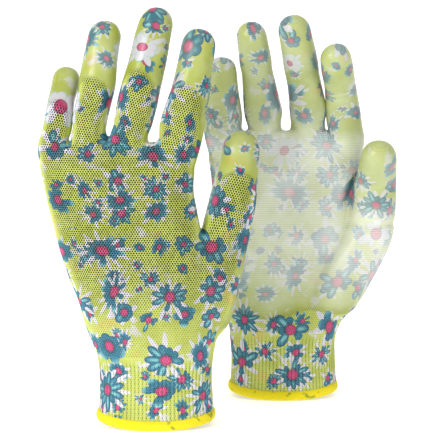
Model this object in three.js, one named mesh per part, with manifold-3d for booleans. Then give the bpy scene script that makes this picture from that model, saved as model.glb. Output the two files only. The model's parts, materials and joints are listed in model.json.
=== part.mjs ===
// A pair of dipped gardening gloves, standing on their cuffs as if filled by hands.
// Millimetres, +Z up. The left glove stands in front and turns its back to -Y; the right one
// stands behind it and turns its palm to -Y. Each glove is a knitted liner made in sections
// (cuff, lower hand, upper hand, two tubes per finger), a coating film over the palm side and
// the fingertips, an overlocked hem and an elastic yarn laid in the cuff.
import * as THREE from "three";
import { mergeVertices } from "three/addons/utils/BufferGeometryUtils.js";
import Module from "manifold-3d";

const wasm = await Module();
wasm.setup();

// ---- Driving dimensions --------------------------------------------------------------------

const WALL = 1.0; // knitted liner
const FILM_GAP = 0.3; // between liner and film
const FILM = 0.5; // coating film
const FILM_OUT = FILM_GAP + FILM; // outer face of the film above the liner
const BEND_GAP = 0.4; // half the slit at every bend
const SECTION_GAP = 0.3; // between two sections of one body
const REACH = 40; // how far a cutting tool reaches past what it cuts
const ROOM = { x: 120, y: 60, top: 220 }; // half a glove's room, and its height
const PAST_END = 5; // how far an inner skin runs past an open end
const MERGE = 1e-4; // vertices this close are one

const HEM = { height: 4.5, thick: 1.1, floor: 1.3 };
const WRIST_Z = 38; // height of the wrist bend
const THUMB_FORK_Z = 116; // where the upper hand begins
const FILM_FROM_Z = 62; // lower edge of the palm film
const FILM_BACK_Y = 1.0; // how far the film passes the glove's middle plane

// The oval of the cuff from the hem up: height, half width, half depth.
const CUFF_RINGS = [
  [0, 33.2, 22.0],
  [10, 32.3, 21.4],
  [26, 31.6, 20.6],
  [WRIST_Z, 32.4, 20.7],
];
const ELASTIC = { radius: 0.35, turns: 3, from: 8, to: 32, stepsPerTurn: 14 };

const AROUND_HAND = 20; // sides of the hand's and the cuff's sections
const AROUND_FINGER = 10; // and of a finger's
const DOME_ANGLES = [38, 70]; // rings of a rounded fingertip, in degrees
const DOME_RISE = 1.05; // height of the rounded tip against its half width
const TIP_WRAP = 0.45; // the film wraps the second tube from this share of its length
const TUBE_RUN = 4; // how far a tube runs past its bend before it is cut there
const CUT_SIDE = 0.15; // how much wider a bend's cut is than the finger's film
const STUB = 16; // how deep a finger's stub starts inside the palm
const STUB_INWARDS = 0.12; // and this share of the way to the palm's middle line
const STUB_COLLAR = 3; // its full width begins this far below the root
const STUB_TAPER = 0.75; // its width at the foot against its width at the root
const HAND_SQUARENESS = 2.3; // 2 is an ellipse, more is squarer
const FINGER_SQUARENESS = 2.1;

// Where a hinge lies: this share of the half depth from the middle towards the palm.
const HINGE_TO_PALM = 0.38;
const ROOT_BEND = 65; // degrees that a finger folds at its root
const MIDDLE_BEND = 70; // and at its middle
const THUMB_ROOT_BEND = 45;
const THUMB_MIDDLE_BEND = 65;
const WRIST_TO_PALM = 18;
const WRIST_TO_BACK = 35;

// Half width and half depth of the liner at root, middle and tip, and the lengths of the two
// tubes. Both gloves share these.
const FINGER_SIZES = {
  little: { wide: [8.2, 8.3, 7.5], deep: [8.1, 7.9, 7.1], lengths: [23, 27.5] },
  ring: { wide: [9.5, 9.5, 8.5], deep: [8.9, 8.8, 7.9], lengths: [33, 37] },
  middle: { wide: [10.1, 10.1, 9.1], deep: [9.3, 9.2, 8.3], lengths: [37, 41] },
  index: { wide: [10.6, 10.1, 8.9], deep: [9.5, 9.1, 8.1], lengths: [33, 37] },
  thumb: { wide: [13.2, 11.6, 9.9], deep: [11.6, 10.6, 9.0], lengths: [24, 30] },
};

// How each glove is held: the palm's rings (height, middle, half width, half depth), the
// thumb's base (middle x, y, z, half width, half depth), and each finger's root (x, y, z), its
// lean towards the thumb and its curl towards the palm, for the first and second tube, and how
// much fuller and how much longer than its size it is filled.
const GLOVES = {
  left: {
    palmSide: 1,
    place: [-39, -44],
    palm: [
      [WRIST_Z, 0, 32.4, 20.7],
      [54, -2.0, 36.2, 19.4],
      [72, -6.2, 37.8, 18.0],
      [92, -11.2, 40.2, 16.6],
      [THUMB_FORK_Z, -16.9, 41.2, 15.2],
      [136, -20.9, 41.8, 13.6],
      [147, -22.6, 41.4, 11.6],
      [153, -23.4, 38.5, 8.5],
    ],
    thumbBase: [
      [14.5, 1, 43, 18.3, 14],
      [18.5, 2.5, 52, 19.8, 15],
      [24.5, 4, 68, 20.2, 16],
      [29.5, 6, 86, 18.8, 15],
      [35.5, 7, 100, 15.8, 13.2],
      [39, 7.6, 108, 14.2, 12.2],
    ],
    fingers: {
      little: { root: [-57.9, 0, 156.5], lean: [8.5, 11], curl: [8, 20], fill: 0.94, stretch: 1 },
      ring: { root: [-37.7, 0, 161], lean: [8.5, 9], curl: [3, 6], fill: 1, stretch: 1 },
      middle: { root: [-15.6, 0, 161.5], lean: [14.2, 13], curl: [2, 5], fill: 1, stretch: 1 },
      index: { root: [11.4, 0, 157], lean: [14.5, 10.5], curl: [3, 6], fill: 1, stretch: 1 },
      thumb: { root: [41.0, 8, 115], lean: [12, 8.5], curl: [8, 8], fill: 1, stretch: 1 },
    },
  },
  right: {
    palmSide: -1,
    place: [36.8, 44],
    palm: [
      [WRIST_Z, 0, 32.4, 20.7],
      [54, 1.6, 36.8, 19.4],
      [72, 1.8, 39.2, 18.0],
      [92, 1.7, 41.8, 16.6],
      [THUMB_FORK_Z, 1.6, 43.8, 15.2],
      [136, 1.4, 45.4, 13.6],
      [147, 1.3, 45.0, 11.6],
      [153, 1.4, 42.4, 8.5],
    ],
    thumbBase: [
      [15.5, 1, 42, 18.3, 14],
      [21.7, 2, 51, 19.3, 15],
      [30.4, 5, 66, 19.6, 15.6],
      [39.2, 7, 80, 18.0, 15],
      [49.0, 8, 96, 15.8, 13.2],
      [52.3, 8.6, 106, 14.4, 12.2],
    ],
    fingers: {
      little: { root: [-35.9, 0, 159.3], lean: [-4.5, -1], curl: [4, 7], fill: 1.2, stretch: 1 },
      ring: { root: [-11.5, 0, 162.5], lean: [-7.5, -8.5], curl: [5, 13], fill: 1, stretch: 1 },
      middle: { root: [15.0, 0, 162.5], lean: [-6, -12], curl: [10, 22], fill: 1, stretch: 1 },
      index: { root: [38.2, 0, 157.5], lean: [-6.2, -13], curl: [12, 28], fill: 0.97, stretch: 0.965 },
      thumb: { root: [53.6, 9, 113], lean: [5, 2.5], curl: [20, 16], fill: 1, stretch: 0.96 },
    },
  },
};

// ---- Materials -----------------------------------------------------------------------------

const finish = (color, roughness) =>
  new THREE.MeshStandardMaterial({ color, roughness, metalness: 0 });
const MATERIALS = {
  liner: finish(0xd3dc62, 0.92),
  film: finish(0xe3ebb4, 0.45),
  hem: finish(0xe9d52a, 0.85),
  elastic: finish(0xf2f0e6, 0.8),
};

// ---- Solids --------------------------------------------------------------------------------

// A closed geometry as a solid, placed by a matrix.
function solid(geometry, matrix = new THREE.Matrix4()) {
  const bare = geometry.clone().applyMatrix4(matrix);
  bare.deleteAttribute("normal");
  bare.deleteAttribute("uv");
  const merged = mergeVertices(bare, MERGE);
  return new wasm.Manifold(
    new wasm.Mesh({
      numProp: 3,
      vertProperties: merged.attributes.position.array,
      triVerts: new Uint32Array(merged.index.array),
    }),
  );
}

function geometryOf(made) {
  const mesh = made.getMesh();
  const geometry = new THREE.BufferGeometry();
  const flat = new Float32Array(mesh.vertProperties);
  geometry.setAttribute("position", new THREE.BufferAttribute(flat, 3));
  geometry.setIndex(new THREE.BufferAttribute(new Uint32Array(mesh.triVerts), 1));
  return geometry.toNonIndexed();
}

const joined = (solids) => solids.reduce((all, one) => all.add(one));

// What is left of a cut piece once the crumbs at its corners are dropped.
const mainBody = (made) =>
  made.decompose().reduce((best, one) => (one.volume() > best.volume() ? one : best));

// A point of an oval section, at an angle from +X.
function ovalPoint(angle, wide, deep, squareness) {
  const bend = (v) => Math.sign(v) * Math.abs(v) ** (2 / squareness);
  return [wide * bend(Math.cos(angle)), deep * bend(Math.sin(angle))];
}

// A closed skin through rings of {at, wide, deep}, from the lowest ring to the highest.
function loft(rings, around, squareness) {
  const positions = [];
  const faces = [];
  for (const { at, wide, deep } of rings)
    for (let k = 0; k < around; k++) {
      const [x, y] = ovalPoint((2 * Math.PI * k) / around, wide, deep, squareness);
      positions.push(at[0] + x, at[1] + y, at[2]);
    }
  for (let r = 0; r + 1 < rings.length; r++)
    for (let k = 0; k < around; k++) {
      const [a, b] = [r * around + k, r * around + ((k + 1) % around)];
      faces.push(a, b, b + around, a, b + around, a + around);
    }
  const cap = (first, middle, up) => {
    const centre = positions.length / 3;
    positions.push(...middle);
    for (let k = 0; k < around; k++) {
      const [a, b] = [first + k, first + ((k + 1) % around)];
      faces.push(centre, ...(up ? [a, b] : [b, a]));
    }
  };
  cap(0, rings[0].at, false);
  cap((rings.length - 1) * around, rings.at(-1).at, true);
  const geometry = new THREE.BufferGeometry();
  geometry.setAttribute("position", new THREE.Float32BufferAttribute(positions, 3));
  geometry.setIndex(faces);
  return geometry;
}

// A block from one corner to the other.
function block(low, high) {
  const size = high.map((v, i) => v - low[i]);
  const middle = high.map((v, i) => (v + low[i]) / 2);
  return solid(new THREE.BoxGeometry(...size).translate(...middle));
}

// The space past a bend, in the bend's own frame: flat at the hinge and falling away from it
// by half the bend on the side that closes. up is 1 for what lies above, -1 for below.
function pastBend({ frame, halfWidth, hinge, palmSide, toPalm, toBack }, up) {
  const fall = (degrees) => REACH * Math.tan(THREE.MathUtils.degToRad(degrees / 2));
  const [palm, back] = [palmSide * REACH, -palmSide * REACH];
  const start = up * BEND_GAP;
  const shape = new THREE.Shape([
    new THREE.Vector2(palm + hinge, -start - up * fall(toPalm)),
    new THREE.Vector2(hinge, -start),
    new THREE.Vector2(back + hinge, -start - up * fall(toBack)),
    new THREE.Vector2(back + hinge, up * REACH),
    new THREE.Vector2(palm + hinge, up * REACH),
  ]);
  const geometry = new THREE.ExtrudeGeometry(shape, {
    depth: 2 * halfWidth,
    bevelEnabled: false,
  });
  // The shape's plane becomes Y and Z, and its depth runs along X.
  geometry.translate(0, 0, -halfWidth);
  geometry.applyMatrix4(
    new THREE.Matrix4().makeBasis(
      new THREE.Vector3(0, 1, 0),
      new THREE.Vector3(0, 0, 1),
      new THREE.Vector3(1, 0, 0),
    ),
  );
  return solid(geometry, frame);
}

// ---- Fingers -------------------------------------------------------------------------------

const degrees = THREE.MathUtils.degToRad;

// The frame of a tube: its lean towards the thumb and its curl towards the palm.
function tubeFrame(at, lean, curl, palmSide) {
  const turn = new THREE.Euler(-degrees(curl) * palmSide, degrees(lean), 0, "YXZ");
  return new THREE.Matrix4().compose(
    new THREE.Vector3(...at),
    new THREE.Quaternion().setFromEuler(turn),
    new THREE.Vector3(1, 1, 1),
  );
}

// Everything about one finger that the hand and its own tubes need.
function fingerPlan(name, pose, glove) {
  const { palmSide, thumbBase } = glove;
  const { wide, deep, lengths } = FINGER_SIZES[name];
  const filled = (half) => half * pose.fill;
  const size = {
    wide: wide.map(filled),
    deep: deep.map(filled),
    lengths: lengths.map((length) => length * pose.stretch),
  };
  const [x, y, z] = pose.root;
  const root = tubeFrame([x, y * palmSide, z], pose.lean[0], pose.curl[0], palmSide);
  const middleAt = new THREE.Vector3(0, 0, size.lengths[0]).applyMatrix4(root);
  const middle = tubeFrame(middleAt.toArray(), pose.lean[1], pose.curl[0] + pose.curl[1], palmSide);
  const thumb = name === "thumb";
  const inwards = THREE.MathUtils.lerp(x, glove.palm.at(-1)[1], STUB_INWARDS);
  const [footX, footY, footZ] = thumb ? thumbBase.at(-2) : [inwards, y, z - STUB];
  const foot = new THREE.Vector3(footX, footY * palmSide, footZ);
  const bend = (frame, station, toPalm) => ({
    frame,
    palmSide,
    toPalm,
    toBack: 0,
    halfWidth: size.wide[station] + FILM_OUT + CUT_SIDE,
    hinge: palmSide * HINGE_TO_PALM * size.deep[station],
  });
  return {
    name,
    size,
    root,
    foot: foot.applyMatrix4(root.clone().invert()),
    middle,
    rootBend: bend(root, 0, thumb ? THUMB_ROOT_BEND : ROOT_BEND),
    middleBend: bend(middle, 1, thumb ? THUMB_MIDDLE_BEND : MIDDLE_BEND),
  };
}

// The first tube's skin, grown by a distance and run past both its ends.
function firstTube({ size, root }, grow, run) {
  const [wide, deep] = [size.wide, size.deep];
  const ring = (z, w, d) => ({ at: [0, 0, z], wide: w + grow, deep: d + grow });
  return solid(
    loft(
      [
        ring(-run, wide[0], deep[0]),
        ring(0, wide[0], deep[0]),
        ring(size.lengths[0] + run, wide[1], deep[1]),
      ],
      AROUND_FINGER,
      FINGER_SQUARENESS,
    ),
    root,
  );
}

// The second tube's skin, with its rounded tip.
function secondTube({ size, middle }, grow, run) {
  const [wide, deep, length] = [size.wide, size.deep, size.lengths[1]];
  const domeHeight = wide[2] * DOME_RISE;
  const shoulder = length - domeHeight;
  const rings = [
    { at: [0, 0, -run], wide: wide[1] + grow, deep: deep[1] + grow },
    { at: [0, 0, shoulder], wide: wide[2] + grow, deep: deep[2] + grow },
  ];
  for (const angle of DOME_ANGLES) {
    const [c, s] = [Math.cos(degrees(angle)), Math.sin(degrees(angle))];
    rings.push({
      at: [0, 0, shoulder + (domeHeight + grow) * s],
      wide: (wide[2] + grow) * c,
      deep: (deep[2] + grow) * c,
    });
  }
  return solid(loft(rings, AROUND_FINGER, FINGER_SQUARENESS), middle);
}

// A tube's film covers the palm side only, except where it wraps the whole fingertip.
function palmSideOnly(film, frame, palmSide, wrapFrom) {
  const y = -palmSide * FILM_BACK_Y;
  const far = -palmSide * REACH;
  const back = block(
    [-REACH, Math.min(y, far), -REACH],
    [REACH, Math.max(y, far), wrapFrom],
  ).transform(frame.toArray());
  return film.subtract(back);
}

function fingerSections(plan, palmSide) {
  const aboveRoot = pastBend(plan.rootBend, -1);
  const aboveMiddle = pastBend(plan.middleBend, 1);
  const belowMiddle = pastBend(plan.middleBend, -1);
  const innerRun = TUBE_RUN + PAST_END;
  const first = (grow) => firstTube(plan, grow, TUBE_RUN);
  const second = (grow) => secondTube(plan, grow, TUBE_RUN);
  const trimFirst = (made) => made.subtract(aboveRoot).subtract(aboveMiddle);
  const firstFilm = first(FILM_OUT).subtract(firstTube(plan, FILM_GAP, innerRun));
  const secondFilm = second(FILM_OUT).subtract(secondTube(plan, FILM_GAP, innerRun));
  const wrapFrom = plan.size.lengths[1] * TIP_WRAP;
  return {
    base_liner: trimFirst(first(0).subtract(firstTube(plan, -WALL, innerRun))),
    base_coating: palmSideOnly(trimFirst(firstFilm), plan.root, palmSide, REACH * 2),
    tip_liner: second(0).subtract(secondTube(plan, -WALL, innerRun)).subtract(belowMiddle),
    tip_coating: palmSideOnly(
      secondFilm.subtract(belowMiddle),
      plan.middle,
      palmSide,
      wrapFrom,
    ),
  };
}

// ---- Hand and cuff -------------------------------------------------------------------------

// The hand's skin, grown by a distance: the palm, the thumb's base and a stub for each finger.
// stretch lengthens every open end, so that an inner skin opens the outer one.
function handSkin(glove, plans, grow, stretch) {
  const grown = (at, wide, deep) => ({ at, wide: wide + grow, deep: deep + grow });
  const palm = glove.palm.map(([z, x, wide, deep]) => grown([x, 0, z], wide, deep));
  palm[0].at[2] -= stretch;
  palm.at(-1).at[2] += grow;
  const base = glove.thumbBase.map(([x, y, z, wide, deep]) =>
    grown([x, y * glove.palmSide, z], wide, deep),
  );
  base[0].at[2] -= grow;
  base.at(-1).at[2] += grow;
  const stubs = plans.map(({ size, root, foot }) => {
    const [wide, deep] = [size.wide[0], size.deep[0]];
    const rings = [
      grown(foot.toArray(), STUB_TAPER * wide, STUB_TAPER * deep),
      grown([0, 0, -STUB_COLLAR], wide, deep),
      grown([0, 0, stretch], wide, deep),
    ];
    return solid(loft(rings, AROUND_FINGER, FINGER_SQUARENESS), root);
  });
  return joined([
    solid(loft(palm, AROUND_HAND, HAND_SQUARENESS)),
    solid(loft(base, AROUND_HAND, FINGER_SQUARENESS)),
    ...stubs,
  ]);
}

function cuffSkin(grow, from, to) {
  const rings = CUFF_RINGS.map(([z, wide, deep]) => ({
    at: [0, 0, z],
    wide: wide + grow,
    deep: deep + grow,
  }));
  rings[0].at[2] = from;
  rings.at(-1).at[2] = to;
  return solid(loft(rings, AROUND_HAND, HAND_SQUARENESS));
}

const wristBend = (palmSide) => ({
  frame: new THREE.Matrix4().makeTranslation(0, 0, WRIST_Z),
  palmSide,
  hinge: 0,
  halfWidth: REACH,
  toPalm: WRIST_TO_PALM,
  toBack: WRIST_TO_BACK,
});

// The elastic yarn's line: round the inside of the cuff and slowly up it.
class ElasticLine extends THREE.Curve {
  getPoint(t, point = new THREE.Vector3()) {
    const z = THREE.MathUtils.lerp(ELASTIC.from, ELASTIC.to, t);
    const inwards = WALL + ELASTIC.radius + SECTION_GAP;
    const [, wide, deep] = CUFF_RINGS.at(-2);
    const turned = 2 * Math.PI * ELASTIC.turns * t;
    const [x, y] = ovalPoint(turned, wide - inwards, deep - inwards, HAND_SQUARENESS);
    return point.set(x, y, z);
  }
}

function elasticYarn() {
  const { radius, turns, stepsPerTurn } = ELASTIC;
  const section = new THREE.Shape([
    new THREE.Vector2(radius, 0),
    new THREE.Vector2(0, radius),
    new THREE.Vector2(-radius, 0),
    new THREE.Vector2(0, -radius),
  ]);
  return solid(
    new THREE.ExtrudeGeometry(section, {
      steps: stepsPerTurn * turns,
      extrudePath: new ElasticLine(),
    }),
  );
}

// The overlocked edge: a ring whose groove holds the cuff's lower edge.
function hemRing() {
  const { height, thick, floor } = HEM;
  const ring = cuffSkin(thick + FILM_GAP, 0, height).subtract(
    cuffSkin(-WALL - thick - FILM_GAP, -PAST_END, height + PAST_END),
  );
  const groove = cuffSkin(FILM_GAP, floor, height + PAST_END).subtract(
    cuffSkin(-WALL - FILM_GAP, 0, height + 2 * PAST_END),
  );
  const inRoom = block([-ROOM.x, -ROOM.y, 0], [ROOM.x, ROOM.y, height]);
  return ring.intersect(inRoom).subtract(groove);
}

function gloveSections(glove) {
  const { palmSide } = glove;
  const plans = Object.entries(glove.fingers).map(([name, pose]) =>
    fingerPlan(name, pose, glove),
  );
  const wrist = wristBend(palmSide);
  const belowWrist = pastBend(wrist, -1);
  const pastRoots = joined(plans.map((plan) => pastBend(plan.rootBend, 1)));
  const trim = (made) => made.subtract(belowWrist).subtract(pastRoots);

  const skin = (grow, stretch) => handSkin(glove, plans, grow, stretch);
  const liner = trim(skin(0, 0).subtract(skin(-WALL, PAST_END)));
  const film = trim(skin(FILM_OUT, 0).subtract(skin(FILM_GAP, PAST_END)));
  const slice = (from, to, fromY = -ROOM.y, toY = ROOM.y) =>
    block([-ROOM.x, fromY, from], [ROOM.x, toY, to]);
  const lower = slice(0, THUMB_FORK_Z - SECTION_GAP / 2);
  const upper = slice(THUMB_FORK_Z + SECTION_GAP / 2, ROOM.top);
  const palmHalf =
    palmSide > 0
      ? slice(FILM_FROM_Z, ROOM.top, -FILM_BACK_Y, ROOM.y)
      : slice(FILM_FROM_Z, ROOM.top, -ROOM.y, FILM_BACK_Y);
  const cuff = cuffSkin(0, HEM.floor + FILM_GAP, WRIST_Z)
    .subtract(cuffSkin(-WALL, -PAST_END, WRIST_Z + PAST_END))
    .subtract(pastBend(wrist, 1));
  const sections = {
    cuff: [cuff, "liner"],
    cuff_elastic: [elasticYarn(), "elastic"],
    hem: [hemRing(), "hem"],
    lower_hand: [liner.intersect(lower), "liner"],
    upper_hand: [liner.intersect(upper), "liner"],
    palm_coating: [film.intersect(palmHalf), "film"],
  };
  for (const plan of plans)
    for (const [part, made] of Object.entries(fingerSections(plan, palmSide)))
      sections[`${plan.name}_${part}`] = [made, part.endsWith("liner") ? "liner" : "film"];
  return sections;
}

// ---- The pair ------------------------------------------------------------------------------

const pair = new THREE.Group();
for (const [side, glove] of Object.entries(GLOVES)) {
  const group = new THREE.Group();
  group.position.set(glove.place[0], glove.place[1], 0);
  for (const [name, [made, material]] of Object.entries(gloveSections(glove))) {
    const mesh = new THREE.Mesh(geometryOf(mainBody(made)), MATERIALS[material]);
    mesh.name = `${side}_${name}`;
    group.add(mesh);
  }
  pair.add(group);
}

// The origin is on the ground, under the middle of the pair.
const middle = new THREE.Box3().setFromObject(pair).getCenter(new THREE.Vector3());
for (const glove of pair.children) glove.position.sub(middle.setZ(0));

export default pair;
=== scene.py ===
"""A pair of printed gardening gloves with dipped palms and fingertips, standing on their cuffs.

Each glove is one knitted surface. Lofts over the palm, the thumb's base and the fingers are joined
by a voxel remesh, smoothed and given folds, and then cut where the coating ends and where the
joints bend. The rib cuff, the overlocked hem and the elastic yarn are modelled apart. The gloves
are worked out in millimetres, which mesh_object turns into metres. The stage is in metres.
"""

import json
import math
from functools import partialmethod

import bpy
import numpy as np
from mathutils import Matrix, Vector


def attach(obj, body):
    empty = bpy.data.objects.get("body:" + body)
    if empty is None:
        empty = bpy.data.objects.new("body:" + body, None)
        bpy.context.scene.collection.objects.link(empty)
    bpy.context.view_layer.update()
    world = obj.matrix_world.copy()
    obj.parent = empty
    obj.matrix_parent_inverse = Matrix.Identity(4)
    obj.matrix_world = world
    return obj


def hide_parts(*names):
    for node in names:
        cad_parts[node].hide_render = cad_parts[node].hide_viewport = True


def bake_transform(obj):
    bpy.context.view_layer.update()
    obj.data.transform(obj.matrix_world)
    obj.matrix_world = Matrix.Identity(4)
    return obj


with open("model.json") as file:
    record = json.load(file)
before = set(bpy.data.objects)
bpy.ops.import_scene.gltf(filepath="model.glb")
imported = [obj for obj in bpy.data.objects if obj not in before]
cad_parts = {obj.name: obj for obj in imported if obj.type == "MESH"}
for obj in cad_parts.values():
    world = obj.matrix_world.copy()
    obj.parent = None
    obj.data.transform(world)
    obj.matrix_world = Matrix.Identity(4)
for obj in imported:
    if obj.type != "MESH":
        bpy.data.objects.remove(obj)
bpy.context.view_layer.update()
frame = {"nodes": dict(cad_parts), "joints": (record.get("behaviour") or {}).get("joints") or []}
MM = 0.001
TURN = 2 * math.pi

# ---- Driving dimensions, in millimetres ----

VOXEL = 1.3  # the remesh that joins palm and fingers
FINGER_GAP = 4.4  # fingers nearer than this are drawn narrower, so that the remesh parts them
PINCH_MOST = 1.3  # the most that a finger is narrowed
SMOOTHING = (0.55, -0.57)  # a step in and a longer one out, so that nothing shrinks
SPINE_STEPS = 16  # rows from one key point of a finger's spine to the next
THUMB_FOOT = -12  # the row of the thumb base at which the thumb's spine starts
KNIT_PROUD = 0.35  # knitted surface above the CAD liner
FILM_PROUD = 0.38  # coating above the knitted surface
HINGE_TO_PALM = 0.38  # the joints lie this share of the half depth towards the palm
FLAT_SIDE = 0.953  # a ten-sided tube's flat back lies at this share of its half depth
SQUARE_HAND, SQUARE_FINGER = 2.3, 2.1

WRIST_Z = 38.0
CUFF_TOP = 42.0
WRIST_TOP = 56.0
RIB_PITCH, RIB_HEIGHT = 2.25, 0.32
RIB_STEPS, CUFF_ROWS = 8, 26  # points across one rib, and rings up each wall of the cuff
CUFF_WALL = 0.9
KNIT_PITCH = (1.5, 1.2)
COURSE_PITCH = 1.15  # the knit's courses under the film
FILM_EDGE = 52  # the coating's lower edge
CHART_UNIT = 100.0
CHART_BACK, CHART_RIGHT = 310.0, 170.0  # how far the chart's parts lie from each other
NEAR_FINGER = 1.5  # a finger's own skin lies within this many of its half widths
NEAR_THUMB = 1.12  # beyond this, skin nearer the palm's outline is the hand's
CUFF_RINGS = [(0, 33.2, 22.0), (10, 32.3, 21.4), (26, 31.6, 20.6), (38, 32.4, 20.7)]
HEM_RISE = 3.2  # the hem lifts this much at the sides of the wrist
HEM = {"z": 3.0, "out": 1.2, "up": 2.55, "yarn": 0.45, "pitch": 1.25, "steps": 14}
ELASTIC = {"turns": 3, "from": 8.0, "to": 32.0, "yarn": 0.35, "inwards": 1.9}

# The palm's rings above the cuff (height, middle, half width, half depth) and the thumb base's
# rings (middle x, y towards the palm, z, half width, half depth), from the glove's own wrist, and
# how far each finger swells near its root, towards the little finger and towards the thumb.
HANDS = {
    "left": {
        "palm_side": 1,
        "palm": [
            (54, -2.0, 36.2, 19.4), (72, -6.2, 37.8, 18.0), (92, -11.2, 40.2, 16.6), (116, -16.9, 41.2, 15.2),
            (136, -20.9, 41.8, 13.6), (150, -22.6, 42.2, 11.8), (161, -23.0, 40.0, 8.6),
        ],
        "thumb_base": [
            (14.5, 1, 43, 18.3, 14), (18.5, 2.5, 52, 19.8, 15), (24.5, 4, 68, 20.2, 16),
            (29.5, 6, 86, 18.8, 15), (35.5, 7, 100, 15.8, 13.2), (39, 7.6, 108, 14.2, 12.2),
        ],
        "swell": [(0, 1.6), (1.6, 0.3), (0.3, 0.9), (1.4, 1.6), (0, 0)],
    },
    "right": {
        "palm_side": -1,
        "palm": [
            (54, 1.6, 36.8, 19.4), (72, 1.8, 39.2, 18.0), (92, 1.7, 41.8, 16.6), (116, 1.6, 43.8, 15.2),
            (136, 1.4, 45.6, 13.6), (150, 1.3, 45.6, 11.8), (164, 1.4, 43.0, 8.6),
        ],
        "thumb_base": [
            (15.5, 1, 42, 18.3, 14), (21.7, 2, 51, 19.3, 15), (30.4, 5, 66, 19.6, 15.6),
            (39.2, 7, 80, 18.0, 15), (49.0, 8, 96, 15.8, 13.2), (52.3, 8.6, 106, 14.4, 12.2),
        ],
        "swell": [(1.8, 0.8), (0.8, 1.8), (0.8, 2.2), (1.5, 0.3), (0, 0)],
    },
}
FINGERS = ["little", "ring", "middle", "index", "thumb"]
LITTLE, INDEX, THUMB = 0, 3, 4

JOINTS = {joint["name"]: joint for joint in frame["joints"]}


# ---- Small helpers ----


def unit(v):
    return v / np.linalg.norm(v)


def norms(v):
    """The length of each row."""
    return np.linalg.norm(v, axis=-1)


def unit_rows(v):
    return v / np.maximum(norms(v)[:, None], 1e-12)


def smooth(x, low, high):
    t = np.clip((x - low) / (high - low), 0, 1)
    return t * t * (3 - 2 * t)


def node_points(node):
    """A CAD node's vertices, in millimetres."""
    return mesh_points(frame["nodes"][node].data)


def mesh_points(mesh):
    co = np.empty(len(mesh.vertices) * 3)
    mesh.vertices.foreach_get("co", co)
    return co.reshape(-1, 3) / MM


def through(points, count):
    """A Catmull-Rom curve through rows of numbers."""
    p = np.array(points, float)
    p = np.vstack([2 * p[0] - p[1], p, 2 * p[-1] - p[-2]])
    out = []
    for i in range(1, len(p) - 2):
        t = np.linspace(0, 1, count, endpoint=False)[:, None]
        a, b, c, d = p[i - 1 : i + 3]
        out.append(
            b + 0.5 * t * (c - a + t * (2 * a - 5 * b + 4 * c - d + t * (3 * (b - c) + d - a)))
        )
    return np.vstack(out + [p[-2:-1]])


def oval(angle, square):
    """The unit oval: 2 is a circle, more is squarer."""
    c, s = np.cos(angle), np.sin(angle)
    return tuple(np.sign(v) * np.abs(v) ** (2 / square) for v in (c, s))


def quads(rings, around, closed=False):
    """The corners of the faces between rings of points, ring by ring."""
    r, k = np.mgrid[: rings if closed else rings - 1, :around].reshape(2, -1)
    after, above = (k + 1) % around, (r + 1) % rings * around
    return np.stack([r * around + k, r * around + after, above + after, above + k], 1)


def along_path(steps):
    """The length up to each point of a path, from its steps."""
    return np.hstack([0, np.cumsum(norms(steps))])


def loft(centres, sides, ups, wide, deep, square, around=48):
    """A closed skin of ovals: rows of centres, side and up directions, half sizes."""
    c, s = oval(TURN * np.arange(around) / around, square)
    rows = (
        centres[:, None, :]
        + (wide[:, None] * c)[..., None] * sides[:, None, :]
        + (deep[:, None] * s)[..., None] * ups[:, None, :]
    )
    rings = len(centres)
    co = np.vstack([rows.reshape(-1, 3), centres[:1], centres[-1:]])
    low, last = rings * around, (rings - 1) * around
    caps = [(low, (j + 1) % around, j) for j in range(around)]
    caps += [(low + 1, last + j, last + (j + 1) % around) for j in range(around)]
    return co, [*quads(rings, around), *caps]


def put_in_scene(name, data):
    made = bpy.data.objects.new(name, data)
    bpy.context.scene.collection.objects.link(made)
    return made


def mesh_object(name, co, faces):
    """An object in metres, from points in millimetres."""
    mesh = bpy.data.meshes.new(name)
    mesh.from_pydata((co * MM).tolist(), [], [tuple(int(i) for i in f) for f in faces])
    mesh.update()
    return put_in_scene(name, mesh)


def joined_parts(parts):
    """Several closed skins as one list of points and one of faces."""
    co, faces, first = [], [], 0
    for part_co, part_faces in parts:
        co.append(part_co)
        faces += [tuple(i + first for i in f) for f in part_faces]
        first += len(part_co)
    return np.vstack(co), faces


# ---- Where the fingers lie, from the joints and the CAD tubes ----


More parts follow.
